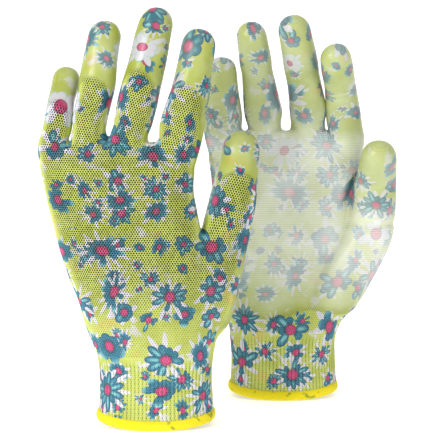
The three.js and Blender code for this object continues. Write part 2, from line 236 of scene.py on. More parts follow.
class Finger:
    """One finger's bones: its two tubes' frames, half sizes and lengths, in millimetres."""

    def __init__(self, side, name, palm_side):
        self.name = name
        root, middle = JOINTS[f"{side}_{name}_root"], JOINTS[f"{side}_{name}_middle"]
        hinge0, hinge1 = np.array(root["pos_m"]) / MM, np.array(middle["pos_m"]) / MM
        self.x0 = unit(-palm_side * np.array(root["axis"]))
        self.x1 = unit(-palm_side * np.array(middle["axis"]))
        self.z0 = self._across(hinge1 - hinge0, self.x0)
        y0 = np.cross(self.z0, self.x0)
        base = node_points(f"{side}_{name}_base_liner")
        tip = node_points(f"{side}_{name}_tip_liner")
        local = (base - hinge0) @ np.stack([self.x0, y0, self.z0], 1)
        half = local[:, 2] < local[:, 2].mean()
        self.wide = [abs(local[half, 0]).max(), abs(local[~half, 0]).max()]
        backs = [(-palm_side * local[pick, 1]).max() for pick in (half, ~half)]
        self.deep = [back / (FLAT_SIDE + HINGE_TO_PALM) for back in backs]
        self.root = hinge0 - palm_side * HINGE_TO_PALM * self.deep[0] * y0
        self.z1 = self._across(tip.mean(0) - hinge1, self.x1)
        y1 = np.cross(self.z1, self.x1)
        self.middle = hinge1 - palm_side * HINGE_TO_PALM * self.deep[1] * y1
        self.z1 = self._across(tip.mean(0) - self.middle, self.x1)
        y1 = np.cross(self.z1, self.x1)
        far = (tip - self.middle) @ np.stack([self.x1, y1, self.z1], 1)
        film = (node_points(f"{side}_{name}_tip_coating") - self.middle) @ self.z1
        shoulder = far[:, 2] > 0.45 * far[:, 2].max()
        self.wide.append(abs(far[shoulder, 0]).max())
        self.deep.append(abs(far[shoulder, 1]).max() / FLAT_SIDE)
        self.lengths = [np.linalg.norm(self.middle - self.root), film.max() - FILM_PROUD]

    @staticmethod
    def _across(v, x):
        return unit(v - (v @ x) * x)

    def on_axis(self, t):
        """The point at a distance t from the root, along the two bones."""
        past = t - self.lengths[0]
        return self.middle + self.z1 * past if past > 0 else self.root + self.z0 * t

    def spine(self, foot):
        """Centres, side and up directions and half sizes along the finger, tip included."""
        dome = self.wide[2] * 1.12
        shoulder = self.middle + self.z1 * (self.lengths[1] - dome)
        keys = [foot, self.root, self.middle, shoulder]
        sizes = list(zip(self.wide, self.deep))
        sizes.insert(0, 0.8 * np.array(sizes[0]))
        rows = through([np.hstack([k, s]) for k, s in zip(keys, sizes)], SPINE_STEPS)
        rise = np.linspace(0, 1, SPINE_STEPS + 1)[1:-1] * np.pi / 2
        round_off = np.cos(rise) ** 0.92
        dome_rows = shoulder + np.outer(dome * np.sin(rise), self.z1)
        rows = np.vstack([rows, np.hstack([dome_rows, np.outer(round_off, sizes[-1])])])
        along = unit_rows(np.gradient(rows[:, :3], axis=0))
        share = smooth(np.arange(len(rows)), SPINE_STEPS, SPINE_STEPS + 20)[:, None]
        sides = self.x0 * (1 - share) + self.x1 * share
        sides = unit_rows(sides - (sides * along).sum(1)[:, None] * along)
        return rows, sides, np.cross(along, sides), along


# ---- The glove's surface ----


class Surface:
    """Triangles with any number of per-vertex values, which can be split along a value's zero."""

    def __init__(self, co, tris):
        self.values = {"co": co}
        self.tris = tris

    def __getattr__(self, name):
        return self.values[name]

    def put(self, **values):
        self.values.update(values)

    def split(self, field):
        """Cuts every triangle that a value's zero crosses."""
        f = self.values[field]
        f = np.where(np.abs(f) < 1e-4, 1e-4, f)
        up = f > 0
        sides = up[self.tris].sum(1)
        whole = (sides == 0) | (sides == 3)
        out = [self.tris[whole]]
        cut = self.tris[~whole]
        odd = up[cut].sum(1) == 1
        lone = np.where(odd[:, None], up[cut], ~up[cut]).argmax(1)
        rows = np.arange(len(cut))
        a, b, c = (cut[rows, (lone + k) % 3] for k in range(3))
        edges = np.sort(np.vstack([np.stack([a, b], 1), np.stack([a, c], 1)]), 1)
        unique, back = np.unique(edges, axis=0, return_inverse=True)
        share = f[unique[:, 0]] / (f[unique[:, 0]] - f[unique[:, 1]])
        first = len(f)
        for name, v in self.values.items():
            s = share.reshape((-1,) + (1,) * (v.ndim - 1))
            new = v[unique[:, 0]] * (1 - s) + v[unique[:, 1]] * s
            self.values[name] = np.concatenate([v, new])
        self.values[field][first:] = 0
        ab, ac = first + back.reshape(-1)[: len(cut)], first + back.reshape(-1)[len(cut) :]
        out += [np.stack(t, 1) for t in ((a, ab, ac), (ab, b, c), (ab, c, ac))]
        self.tris = np.vstack(out)

    def centre(self, field):
        return self.values[field][self.tris].mean(1)


def remeshed(parts):
    """One closed skin round overlapping lofts."""
    rough = mesh_object("rough", *joined_parts(parts))
    modifier = rough.modifiers.new("join", "REMESH")
    modifier.mode = "VOXEL"
    modifier.voxel_size = VOXEL * MM
    graph = bpy.context.evaluated_depsgraph_get()
    joined = bpy.data.meshes.new_from_object(rough.evaluated_get(graph))
    points = mesh_points(joined)
    joined.calc_loop_triangles()
    tris = np.empty(len(joined.loop_triangles) * 3, int)
    joined.loop_triangles.foreach_get("vertices", tris)
    bpy.data.objects.remove(rough)
    bpy.data.meshes.remove(joined)
    return points, tris.reshape(-1, 3)


def edges_of(tris):
    pairs = np.vstack([tris[:, [0, 1]], tris[:, [1, 2]], tris[:, [2, 0]]])
    return np.unique(np.sort(pairs, 1), axis=0)


def relax(values, edges, steps, weight=1.0):
    """Taubin smoothing of per-vertex values."""
    v = values.copy()
    count = np.bincount(edges.ravel(), minlength=len(v)).astype(float)
    shape = (-1,) + (1,) * (v.ndim - 1)
    weight = np.broadcast_to(weight, len(v)).reshape(shape)
    for step in range(steps):
        total = np.zeros_like(v)
        np.add.at(total, edges[:, 0], v[edges[:, 1]])
        np.add.at(total, edges[:, 1], v[edges[:, 0]])
        v += SMOOTHING[step % 2] * weight * (total / count.reshape(shape) - v)
    return v


def normals_of(co, tris):
    a, b, c = (co[tris[:, k]] for k in range(3))
    face = np.cross(b - a, c - a)
    out = np.zeros_like(co)
    for k in range(3):
        np.add.at(out, tris[:, k], face)
    return unit_rows(out)


class Hand:
    """One glove's measures: its wrist, palm, thumb base and fingers."""

    def __init__(self, side):
        shape = HANDS[side]
        self.side, self.palm_side = side, shape["palm_side"]
        self.at = np.array(JOINTS[f"{side}_wrist"]["pos_m"]) / MM * [1, 1, 0]
        below = [(z, 0, wide, deep) for z, wide, deep in CUFF_RINGS]
        self.palm = through(below + shape["palm"], 10)
        base = np.array(shape["thumb_base"], float)
        base[:, 1] *= self.palm_side
        self.base = through(base, 10)
        self.fingers = [Finger(side, name, self.palm_side) for name in FINGERS]
        self.spines = [finger.spine(self.foot(finger)) for finger in self.fingers]

    def foot(self, finger):
        if finger.name == "thumb":
            return self.at + self.base[THUMB_FOOT, :3]
        inwards = 0.12 * (self.at[0] + self.palm[-1, 1] - finger.root[0])
        return finger.root + [inwards, 0, -18]

    def ring(self, z, column):
        return np.interp(z, self.palm[:, 0], self.palm[:, column])

    def middle_x(self, z):
        return self.at[0] + self.ring(z, 1)

    def reach(self, z, way):
        """Half width of the hand at a height, on the thumb's side or the other one."""
        palm = self.ring(z, 2)
        base = np.interp(z, self.base[:, 2], self.base[:, 0] + self.base[:, 3] - 0.5)
        base = base - self.ring(z, 1)
        fade = smooth(z, 40, 60)
        return np.where(way > 0, np.maximum(palm, fade * base + (1 - fade) * palm), palm)

    def skin(self):
        """The knitted surface before it is cut, with its normals."""
        grow = KNIT_PROUD
        rows = self.palm[self.palm[:, 0] > CUFF_TOP - 6]
        palm = np.stack([rows[:, 1], 0 * rows[:, 1], rows[:, 0], rows[:, 2], rows[:, 3]], 1)
        parts = []
        for rings, square, around in ((palm, SQUARE_HAND, 96), (self.base, SQUARE_FINGER, 48)):
            x, y = (np.tile(way, (len(rings), 1)) for way in np.eye(3)[:2])
            wide, deep = rings[:, 3] + grow, rings[:, 4] + grow
            parts.append(loft(self.at + rings[:, :3], x, y, wide, deep, square, around))
        for i, (rows, sides, ups, _) in enumerate(self.spines):
            wide = rows[:, 3] + grow - self.pinch(i)
            parts.append(loft(rows[:, :3], sides, ups, wide, rows[:, 4] + grow, SQUARE_FINGER))
        co, tris = remeshed(parts)
        edges = edges_of(tris)
        co = relax(co, edges, 12)
        skin = Surface(co, tris)
        self.place(skin)
        skin.put(co=relax(skin.co, edges, 40, smooth(skin.root_gap, 16, 4)))
        self.swell(skin)
        self.fit_cuff(skin)
        self.place(skin)
        skin.put(normal=normals_of(skin.co, tris))
        skin.put(co=skin.co + skin.normal * self.folds(skin)[:, None])
        skin.put(normal=normals_of(skin.co, tris))
        return skin

    def pinch(self, i):
        """How much narrower a finger is drawn where it would melt into the one beside it."""
        rows = self.spines[i][0]
        height = rows[:, 2] - self.fingers[i].root[2]
        narrow = np.zeros(len(rows))
        for j, (other, _, _, _) in enumerate(self.spines):
            if j != i:
                away = norms(rows[:, None, :3] - other[None, :, :3])
                room = away.min(1) - rows[:, 3] - other[away.argmin(1), 3]
                narrow = np.maximum(narrow, (FINGER_GAP - room) / 2)
        return np.clip(narrow, 0, PINCH_MOST) * smooth(height, 3, 9)

    def place(self, skin):
        """Which finger each vertex is on, how far up it, and how far across it."""
        co, best = skin.co, {}
        for i, (rows, sides, ups, ahead) in enumerate(self.spines):
            length = along_path(np.diff(rows[:, :3], axis=0))
            away = norms(co[:, None] - rows[None, :, :3])
            near = away.argmin(1)
            delta = co - rows[near, :3]
            found = {
                "gap": away.min(1) / (rows[near, 3] + 0.1),
                "limb": np.full(len(co), i),
                "t": (length - length[SPINE_STEPS])[near] + (delta * ahead[near]).sum(1),
                "across": (delta * sides[near]).sum(1),
                "lift": (delta * ups[near]).sum(1),
                "wide": rows[near, 3],
                "deep": rows[near, 4],
                "side": sides[near],
            }
            closer = found["gap"] < best.get("gap", np.inf)
            for name, values in found.items():
                best.setdefault(name, values)[closer] = values[closer]
        roots = np.array([finger.root for finger in self.fingers])
        skin.put(root_gap=norms(co[:, None] - roots).min(1), **best)

    def swell(self, skin):
        """Fills the fingers out near their roots, and the hand's edge just below them."""
        limb, t = skin.limb, skin.t
        low, high = np.array(HANDS[self.side]["swell"]).T
        share = skin.across / skin.wide
        edge = (limb == INDEX) & (share > 0)
        edge |= (limb == LITTLE) & (share < 0)
        rise = np.where(edge, smooth(t, -24, -4), smooth(t, 5, 13))
        push = np.where(share > 0, high[limb], -low[limb]) * smooth(np.abs(share), 0.2, 0.9)
        push = push * rise * smooth(t, 38, 12)
        skin.put(co=skin.co + skin.side * push[:, None])

    def fit_cuff(self, skin):
        """Draws the lowest stretch of the hand in to the cuff's own outline."""
        delta, far = self.outline(skin.co)
        pull = (smooth(skin.co[:, 2], 56, 45) * (1 / np.maximum(far, 0.1) - 1))[:, None]
        skin.put(co=skin.co + np.hstack([delta * pull, 0 * pull]))

    def outline(self, co):
        """Each point's way from the hand's axis, and how far that is as a share of the outline."""
        z = co[:, 2]
        delta = co[:, :2] - np.stack([self.middle_x(z), self.at[1] + 0 * z], 1)
        size = np.stack([self.ring(z, 2), self.ring(z, 3)], 1) + KNIT_PROUD
        return delta, (np.abs(delta / size) ** SQUARE_HAND).sum(1) ** (1 / SQUARE_HAND)

    def folds(self, skin):
        """How far soft folds lift the fabric: at the joints, round the wrist and in the palm."""
        co = skin.co
        waves = (
            np.sin(co[:, 0] * 0.21 + np.sin(co[:, 2] * 0.11) * 1.7)
            + np.sin(co[:, 2] * 0.16 + co[:, 1] * 0.2 + np.sin(co[:, 0] * 0.13) * 2.0)
        ) * 0.16
        on_finger = smooth(skin.t, 2, 8)
        lengths = np.array([f.lengths[0] for f in self.fingers])[skin.limb]
        palmward = smooth(self.palm_side * skin.lift / skin.deep, 0.2, 0.9)
        bend = skin.t - lengths
        crease = -0.45 * np.exp(-((bend / 1.6) ** 2)) - 0.3 * np.exp(-(((bend - 5) / 1.4) ** 2))
        creases = crease * palmward * on_finger
        neck = np.exp(-(((co[:, 2] - 44) / 5.0) ** 2))
        gather = neck * 0.28 * np.sin(co[:, 0] * 0.75 + np.sin(co[:, 0] * 0.21) * 2)
        return creases + (waves + gather) * smooth(co[:, 2], CUFF_TOP, CUFF_TOP + 6)


# ---- Charts and fields ----


def flat_chart(hand, skin):
    """Where each vertex lies on the flattened glove, which the knit and the print follow."""
    co = skin.co
    z = co[:, 2]
    x = co[:, 0] - hand.middle_x(z)
    half = hand.reach(z, x)
    q = np.clip(np.abs(x) / half, 0, 1)
    spread = 0.85 * hand.ring(z, 3) * (np.arcsin(q) - q) * np.sign(x)
    palm = np.stack([co[:, 0] - hand.at[0] + spread, z], 1)
    limb = skin.limb
    roots = np.array([f.root for f in hand.fingers])[limb]
    q = np.clip(skin.across / skin.wide, -1, 1)
    bend = 0.9 * skin.deep * (np.arcsin(q) - q)
    over = roots[:, 0] - hand.at[0] + skin.across + bend
    finger = np.stack([over, roots[:, 2] + skin.t], 1)
    thumb = limb == THUMB
    on = np.where(thumb, smooth(skin.t, -12, 8), smooth(skin.t, -6, 10))[:, None]
    on = on * smooth(skin.gap, 1.6, 1.25)[:, None]
    return palm * (1 - on) + finger * on


def coat_field(hand, skin):
    """Above 0 where the coating covers the knit: the palm side, and all round the fingertips."""
    co, s = skin.co, hand.palm_side
    z = co[:, 2]
    x = co[:, 0] - hand.middle_x(z)
    x = x / hand.reach(z, x)
    out = smooth(x, 0.4, 0.75) * smooth(z, 45, 60) * smooth(z, 122, 112)
    plane = hand.at[1] + out * np.interp(z, hand.base[:, 2], hand.base[:, 1])
    lift = s * (co[:, 1] - plane) / hand.ring(z, 3)
    palm = lift + 0.22 + 0.3 * x * np.abs(x)
    edge = FILM_EDGE + 2 * x + 2.2 * np.sin(co[:, 0] * 0.13 + 1)
    palm = np.minimum(palm, (z - edge) / 12)
    limb = skin.limb
    length = np.array([sum(f.lengths) for f in hand.fingers])[limb]
    share = skin.t / length
    wrap = 0.25 + 0.35 * smooth(share, 0.05, 0.4) + 1.6 * smooth(share, 0.38, 0.68)
    tilt = np.where(limb == THUMB, -0.2, 0.38)
    finger = s * skin.lift / skin.deep + tilt * skin.across / skin.wide + wrap
    on = smooth(skin.t, -8, 6) * smooth(skin.gap, 1.7, 1.3)
    field = palm * (1 - on) + finger * on
    thumb = hand.fingers[THUMB]
    fork = thumb.root + thumb.z0 * 4 - thumb.x0 * (thumb.wide[0] + 1)
    field = np.maximum(field, 0.7 - norms(co - fork) / 9)
    wander = np.sin(co[:, 0] * 0.9 + np.sin(z * 0.7)) * np.sin(z * 0.8 + np.sin(co[:, 0] * 0.6))
    return field + 0.05 * wander


def knit_open(skin):
    """How open the knit looks, which sets how strongly the painted shade in its holes shows: stretched over
    the middle of the back, closed at the sides.
    """
    low = 0.4 + 0.6 * smooth(skin.co[:, 2], 48, 95)
    return smooth(np.abs(skin.normal[:, 1]), 0.45, 0.9) * low


def film_milk(hand, skin):
    """How milky the coating is, which also sets how much painted light brightens it: thickest in the palm,
    thin on the back of the fingertips.
    """
    palmward = smooth(hand.palm_side * skin.normal[:, 1], -0.4, 0.6)
    on_finger = smooth(skin.t, -4, 14) * smooth(skin.gap, 1.7, 1.3)
    low = 0.45 + 0.55 * smooth(skin.co[:, 2], 52, 95)
    return palmward * (1 - 0.6 * on_finger) * low


# ---- From surface to pieces ----


def piece_from(skin, pick, name, hand, proud=None):
    """A mesh object of the picked triangles, with smooth normals from the whole surface."""
    tris = skin.tris[pick]
    used, index = np.unique(tris, return_inverse=True)
    tris = index.reshape(-1, 3)
    co = skin.co[used]
    normals = skin.normal[used]
    if proud is not None:
        co = co + normals * proud[used][:, None]
    made = mesh_object(name, co, tris)
    mesh = made.data
    towards = normals[tris].mean(1)[:, 1] > 0
    write_chart(mesh, skin.chart[used], tris, towards, hand.side)
    for label in ("coat", "open", "milk"):
        write_value(mesh, label, skin.values[label][used])
    mesh.shade_smooth()
    mesh.normals_split_custom_set_from_vertices(normals.tolist())
    mesh.update()
    return made


def write_value(mesh, label, values):
    layer = mesh.attributes.new(label, "FLOAT", "POINT")
    layer.data.foreach_set("value", values.astype(np.float32))


def write_chart(mesh, chart, tris, towards, side):
    """The chart as a UV map, in decimetres. Each side of each glove has its own stretch of it."""
    shift = np.where(towards, 0.0, CHART_BACK) + (0.0 if side == "left" else CHART_RIGHT)
    uv = chart[tris] / CHART_UNIT
    uv[..., 0] += shift[:, None] / CHART_UNIT
    layer = mesh.uv_layers.new(name="chart")
    layer.data.foreach_set("uv", uv.astype(np.float32).ravel())


def cut_lines(hand, skin):
    """Splits the surface at the coating's edge, at the wrist and at each finger's two joints."""
    z = skin.co[:, 2]
    fields = {"above_cuff": z - CUFF_TOP, "above_wrist": z - WRIST_TOP}
    near = skin.gap < NEAR_FINGER
    off_thumb = (skin.gap > NEAR_THUMB) & (hand.outline(skin.co)[1] < skin.gap)
    for i, finger in enumerate(hand.fingers):
        half = np.ravel(blend_spans(finger))[1:3].mean()
        mine = near & (skin.limb == i)
        if finger.name == "thumb":
            mine &= ~off_thumb
        for name, start in (("on", root_cut(finger)), ("past", half)):
            fields[f"{name}_{finger.name}"] = np.where(mine, skin.t - start, -9.0)
    skin.put(**fields)
    for name in ["coat", *fields]:
        skin.split(name)


def root_cut(finger):
    return 1.0 if finger.name == "thumb" else 3.5


def blend_spans(finger):
    """Where along the finger its root and its middle bend, from the root."""
    start = root_cut(finger) + 1.2
    first = (start, start + 0.42 * finger.lengths[0] + 3)
    reach = min(9.0, finger.lengths[0] - first[1] - 0.5)
    return first, (finger.lengths[0] - reach, finger.lengths[0] + 9)


def blended(piece, finger, span):
    """Bakes a piece's place into its mesh. The ends of a stretch of the finger's axis are worked out, and
    nothing uses them.
    """
    low, high = (tuple(finger.on_axis(t) * MM) for t in span)
    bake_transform(piece)


def dress(piece, material, slot, *nodes):
    piece.data.materials.append(material)
    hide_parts(*nodes)


def make_hand(hand, materials):
    """The knitted hand and its coating, cut into pieces at the joints."""
    side = hand.side
    skin = hand.skin()
    skin.put(chart=flat_chart(hand, skin), coat=coat_field(hand, skin))
    skin.put(open=knit_open(skin), milk=film_milk(hand, skin))
    cut_lines(hand, skin)
    proud = FILM_PROUD * smooth(skin.coat, 0.0, 0.25) + 0.04
    coated = skin.centre("coat") > 0
    above = skin.centre("above_cuff") > 0
    wrist = above & (skin.centre("above_wrist") < 0)
    rest = above & ~wrist
    on_hand = rest.copy()

    def add(kind, name, pick, *nodes):
        """A piece of the knit, or of the film over its coated part, in place of CAD nodes."""
        film = kind == "film"
        pick, lift = (pick & coated, proud) if film else (pick, None)
        piece = piece_from(skin, pick, f"{side}_{name}_{kind}", hand, lift)
        nodes = [f"{side}_{node}" for node in nodes]
        dress(piece, materials[kind], "coating" if film else "knit", *nodes)
        return piece

    for finger in hand.fingers:
        on = rest & (skin.centre(f"on_{finger.name}") > 0)
        past = skin.centre(f"past_{finger.name}") > 0
        on_hand &= ~on
        parts = ["hand", f"{finger.name}_base", f"{finger.name}_tip"]
        for k, pick in enumerate([on & ~past, on & past]):
            for kind, node in (("knit", "liner"), ("film", "coating")):
                piece = add(kind, parts[k + 1], pick, f"{parts[k + 1]}_{node}")
                blended(piece, finger, blend_spans(finger)[k])
    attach(add("knit", "hand", on_hand, "lower_hand", "upper_hand"), f"{side}_hand")
    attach(add("film", "palm", on_hand, "palm_coating"), f"{side}_hand")
    for kind in ("knit", "film"):
        bend_at_wrist(add(kind, "wrist", wrist))


def bend_at_wrist(piece):
    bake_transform(piece)


# ---- Cuff, hem and elastic ----


def hem_lift(angle):
    """The cuff's edge rises at the sides of the wrist."""
    return HEM_RISE * np.cos(angle) ** 2


def cuff_angles(pitch, steps):
    """Angles at even steps round the cuff's oval, for a whole number of pitches."""
    angle = np.linspace(0, TURN, 4001)
    rim = np.stack(oval(angle, SQUARE_HAND), 1) * CUFF_RINGS[1][1:]
    length = along_path(np.diff(rim, axis=0))
    count = round(length[-1] / pitch) * steps
    return np.interp(np.arange(count) / count * length[-1], length, angle)


def cuff_point(hand, angle, z, grow):
    c, s = oval(angle, SQUARE_HAND)
    wide, deep = hand.ring(z, 2) + grow, hand.ring(z, 3) + grow
    return np.stack([hand.middle_x(z) + wide * c, hand.at[1] + deep * s, z + 0 * c], -1)


def make_cuff(hand, materials):
    """The rib cuff, a tube with an outer and an inner wall."""
    angle = cuff_angles(2 * RIB_PITCH, 2 * RIB_STEPS)
    around = len(angle)
    ridge = np.cos(TURN * np.arange(around) / RIB_STEPS)
    profile = RIB_HEIGHT * (np.clip(ridge * 0.5 + 0.5, 0, 1) ** 0.55 - 0.6)
    heights = np.linspace(0, 1, CUFF_ROWS)

    def height(share, top):
        return HEM["z"] + hem_lift(angle) * (1 - share) ** 2 + share * (top - HEM["z"])

    rows = []
    for share in heights:
        z = height(share, CUFF_TOP + 1.5)
        fade = smooth(z, CUFF_TOP, CUFF_TOP - 7)
        wave = 0.25 * np.sin(angle * 5 + z * 0.12) * smooth(z, 2, 12) * fade
        tuck = 0.12 * smooth(z, CUFF_TOP - 1.0, CUFF_TOP)
        rows.append(cuff_point(hand, angle, z, KNIT_PROUD + profile * fade + wave - tuck))
    for share in heights[::-1]:
        rows.append(cuff_point(hand, angle, height(share, CUFF_TOP - 1.0), -CUFF_WALL))
    count = len(rows)
    co = np.array(rows).reshape(-1, 3)
    corners = quads(count, around, closed=True).reshape(count, around, 4)
    tris = np.concatenate([corners[..., [0, 1, 2]], corners[..., [0, 2, 3]]], 1)
    skin = Surface(co, tris.reshape(-1, 3))
    hand.place(skin)
    outside = np.arange(len(co)) < CUFF_ROWS * around
    skin.put(normal=normals_of(co, skin.tris), chart=flat_chart(hand, skin))
    skin.put(coat=np.full(len(co), -1.0), open=0.5 * outside, milk=np.zeros(len(co)))
    fade = smooth(co[:, 2], CUFF_TOP, CUFF_TOP - 7)
    # where the painted shade of the rib's grooves falls
    groove = smooth(np.tile(ridge, count), -0.35, -0.95) * outside * fade
    cuff = piece_from(skin, slice(None), f"{hand.side}_cuff_knit", hand)
    write_value(cuff.data, "groove", groove)
    dress(cuff, materials["rib"], "knit", f"{hand.side}_cuff")
    bend_at_wrist(cuff)


def tube(path, radius, sides=8, closed=False):
    """A round tube along a path, in millimetres, as one closed skin."""
    before, after = 2 * path[0] - path[1], 2 * path[-1] - path[-2]
    if closed:
        before, after = path[-1], path[0]
    along = unit_rows(np.vstack([path[1:], after]) - np.vstack([before, path[:-1]]))
    side = unit_rows(np.cross(along, (0.0, 0.0, 1.0)))
    up = np.cross(side, along)
    angle = TURN * np.arange(sides) / sides
    rings = (
        path[:, None]
        + radius * np.cos(angle)[None, :, None] * side[:, None]
        + radius * np.sin(angle)[None, :, None] * up[:, None]
    )
    faces = [*quads(len(path), sides, closed)[:, [0, 3, 2, 1]]]
    if not closed:
        end = np.arange(sides)
        faces += [end, (len(path) - 1) * sides + end[::-1]]
    return rings.reshape(-1, 3), faces


def make_hem(hand, materials):
    """The overlock: yarn laid over the cuff's edge turn by turn, round a padded core."""
    angle = cuff_angles(HEM["pitch"], HEM["steps"])
    phase = TURN * np.arange(len(angle)) / HEM["steps"]
    centre_z = HEM["z"] + hem_lift(angle) + 0.15

    def ring(out, up, slant):
        co = cuff_point(hand, angle + slant, centre_z, KNIT_PROUD - 0.4 + out)
        co[:, 2] = np.maximum(centre_z + up, HEM["yarn"])
        return co

    core = ring(0 * angle, 0 * angle, 0.0)
    strands = [tube(core, HEM["out"] * 0.95, 12, closed=True)]
    for offset in (0.0, np.pi):
        out = HEM["out"] * np.cos(phase + offset)
        up = HEM["up"] * np.sin(phase + offset)
        path = ring(out, up, 0.02 * np.sin(phase + offset))
        strands.append(tube(path, HEM["yarn"], 6, closed=True))
    hem = mesh_object(f"{hand.side}_hem_yarn", *joined_parts(strands))
    hem.data.shade_smooth()
    dress(hem, materials["hem"], "hem_yarn", f"{hand.side}_hem")
    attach(hem, f"{hand.side}_cuff")


def make_elastic(hand, materials):
    """The elastic yarn inside the rib, wound up the cuff."""
    steps = 90 * ELASTIC["turns"]
    share = np.linspace(0, 1, steps)
    angle = TURN * ELASTIC["turns"] * share
    z = ELASTIC["from"] + (ELASTIC["to"] - ELASTIC["from"]) * share
    path = cuff_point(hand, angle, z, -ELASTIC["inwards"])
    yarn = mesh_object(f"{hand.side}_elastic", *tube(path, ELASTIC["yarn"]))
    yarn.data.shade_smooth()
    dress(yarn, materials["elastic"], "elastic_yarn", f"{hand.side}_cuff_elastic")
    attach(yarn, f"{hand.side}_cuff")


# ---- Materials ----


class Nodes:
    """Short calls for building a node tree."""

    def __init__(self, tree):
        self.tree = tree

    def add(self, kind, **settings):
        node = self.tree.nodes.new(kind)
        for name, value in settings.items():
            setattr(node, name, value)
        return node

    def feed(self, socket, value):
        if isinstance(value, bpy.types.NodeSocket):
            self.tree.links.new(value, socket)
        elif value is not None:
            socket.default_value = value

    def fed(self, node, *values):
        """A node's first output, once its first inputs are fed."""
        for socket, value in zip(node.inputs, values):
            self.feed(socket, value)
        return node.outputs[0]

    def math(self, operation, *values):
        return self.fed(self.add("ShaderNodeMath", operation=operation), *values)

    plus = partialmethod(math, "ADD")
    minus = partialmethod(math, "SUBTRACT")
    times = partialmethod(math, "MULTIPLY")
    over = partialmethod(math, "DIVIDE")

    def vector(self, operation, *values):
        return self.fed(self.add("ShaderNodeVectorMath", operation=operation), *values)

    def scaled(self, vector, scale):
        node = self.add("ShaderNodeVectorMath", operation="SCALE")
        self.feed(node.inputs["Scale"], scale)
        return self.fed(node, vector)

    def split(self, vector):
        node = self.add("ShaderNodeSeparateXYZ")
        self.fed(node, vector)
        return node.outputs

    def join(self, x=0.0, y=0.0, z=0.0):
        return self.fed(self.add("ShaderNodeCombineXYZ"), x, y, z)

    def step(self, value, low, high, to_low=0.0, to_high=1.0):
        node = self.add("ShaderNodeMapRange", interpolation_type="SMOOTHSTEP")
        return self.fed(node, value, low, high, to_low, to_high)

    def mix(self, share, a, b, blend="MIX"):
        node = self.add("ShaderNodeMix", data_type="RGBA", blend_type=blend)
        node.clamp_factor = True
        self.feed(node.inputs[0], share)
        self.feed(node.inputs[6], a)
        self.feed(node.inputs[7], b)
        return node.outputs[2]

    def noise(self, vector, scale, detail=2.0, rough=0.5):
        node = self.add("ShaderNodeTexNoise", noise_dimensions="3D")
        settle(node, {"Scale": scale, "Detail": detail, "Roughness": rough})
        return self.fed(node, vector)

    def random(self, vector):
        """Three dice for each place."""
        node = self.add("ShaderNodeTexWhiteNoise", noise_dimensions="3D")
        self.fed(node, vector)
        return self.split(node.outputs["Color"])


def rgb(red, green, blue):
    """A colour from 0 to 255 as the eye sees it, in linear light."""
    return tuple((v / 255) ** 2.2 for v in (red, green, blue)) + (1.0,)


LIME = rgb(200, 212, 94)
LIME_DEEP = rgb(186, 197, 74)
MUSTARD = rgb(216, 198, 92)
WHITE = rgb(224, 221, 230)
TEAL = rgb(2, 116, 140)
TEAL_DARK = rgb(4, 78, 98)
SKY = rgb(130, 205, 208)
PINK = rgb(208, 60, 120)
PINK_DARK = rgb(150, 28, 84)
# Painted shade: the glove's shaded inside, as seen through the knit's holes and in the rib's grooves.
HOLE_SHADE = rgb(38, 42, 16)
VEIL_THIN = rgb(216, 224, 206)
# The thick coating's milky colour: partly real milkiness, partly painted light that brightens the palm.
VEIL_THICK_AND_PAINTED_LIGHT = rgb(246, 249, 243)
WET = (0.66, 0.66, 0.62, 1.0)
HEM_YELLOW = rgb(254, 240, 10)
HEM_SHADOW = rgb(230, 206, 8)
STRAY_GREEN = rgb(110, 140, 40)
ELASTIC_WHITE, ELASTIC_SHADOW = rgb(240, 238, 228), rgb(200, 196, 184)

# Three layers of daisies: the cell's size, seed, chance, and smallest and largest radius.
DAISIES = [(12.5, 5.0, 0.3, 2.8, 4.2), (18.0, 23.0, 0.76, 5.6, 8.0), (28.0, 61.0, 0.9, 9.0, 12.4)]


